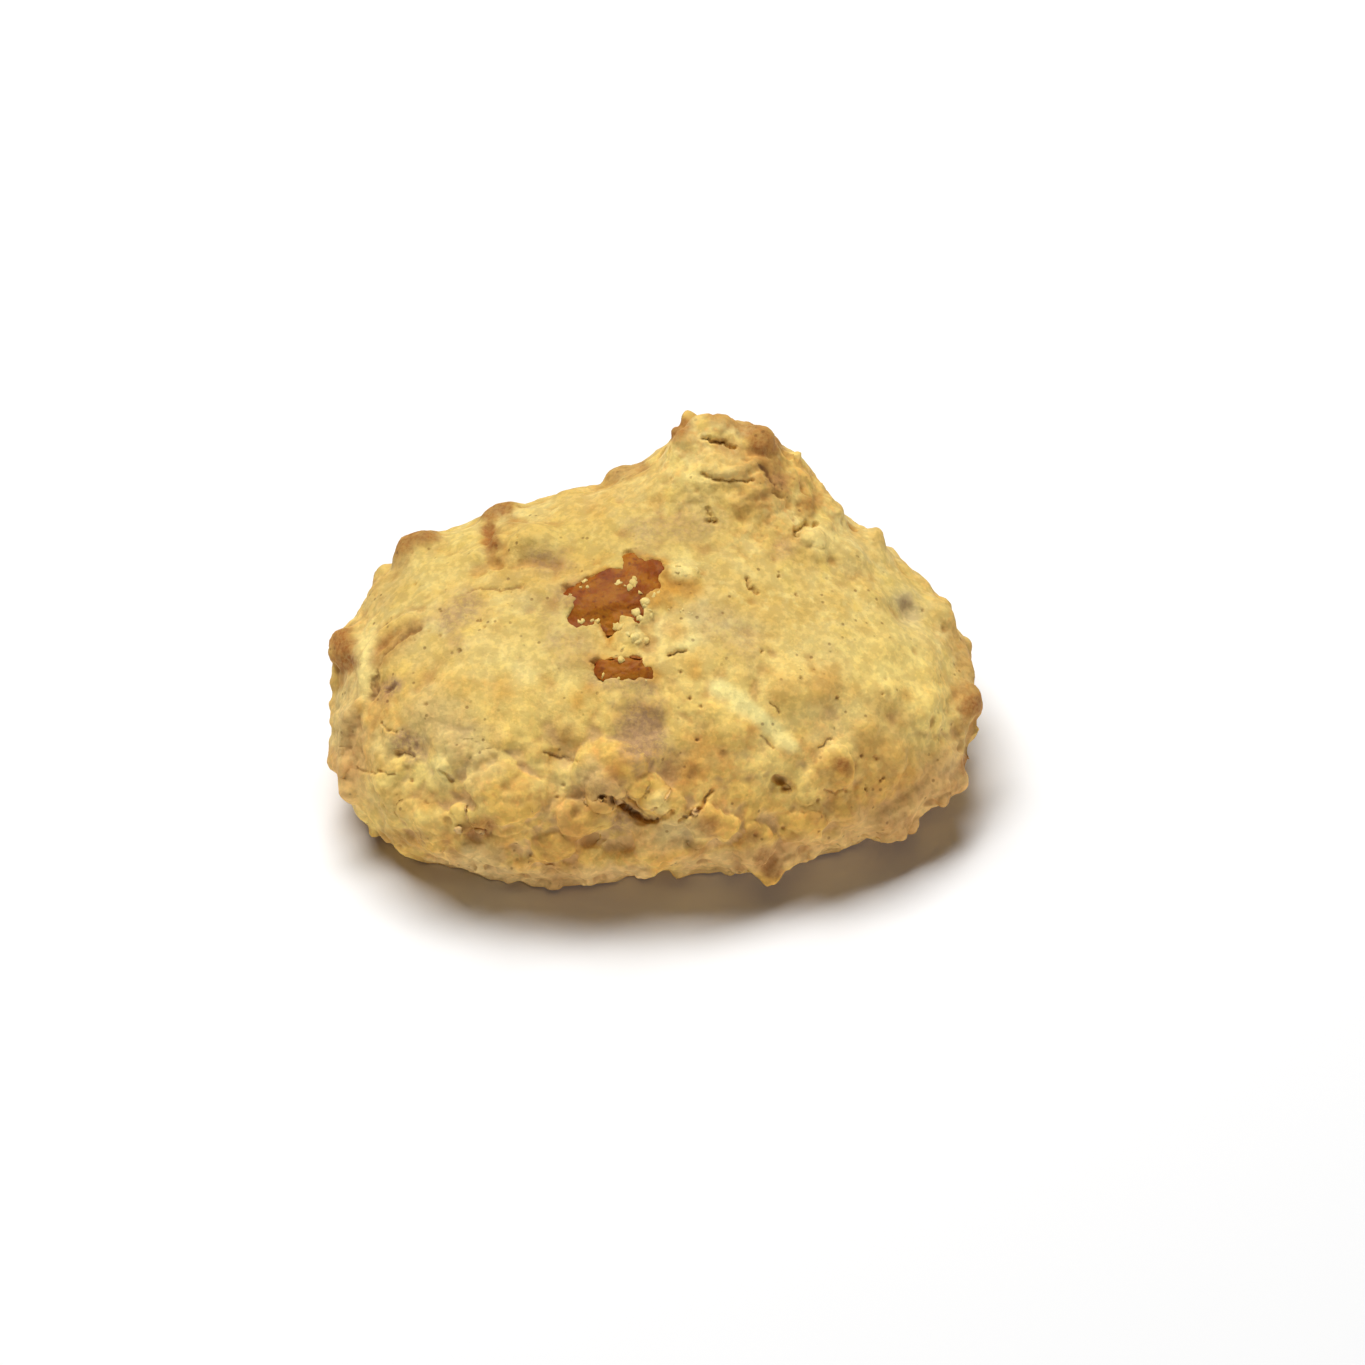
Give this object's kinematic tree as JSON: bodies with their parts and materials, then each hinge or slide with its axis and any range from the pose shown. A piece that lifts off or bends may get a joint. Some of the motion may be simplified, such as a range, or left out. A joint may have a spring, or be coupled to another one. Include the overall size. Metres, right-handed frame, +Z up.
{
  "type": "apricot cookie",
  "caption": "Craggy mound of golden baked cookie dough with pieces of dried apricot set in its top, to serve or eat.",
  "frame": {"origin": "on the flat base, under the middle of the cookie", "axes": "+X to the cookie's right, along its longest side; +Y to its back, where the tall crag stands; +Z up"},
  "size_m": [0.0854, 0.062, 0.0439],
  "materials": {
    "dough": "dry baked crust, matte and rough",
    "apricot": "moist wrinkled dried fruit, satin gloss"
  },
  "bodies": {
    "root": {"dough": "dough", "apricot_large": "apricot", "apricot_small": "apricot"}
  },
  "joints": []
}
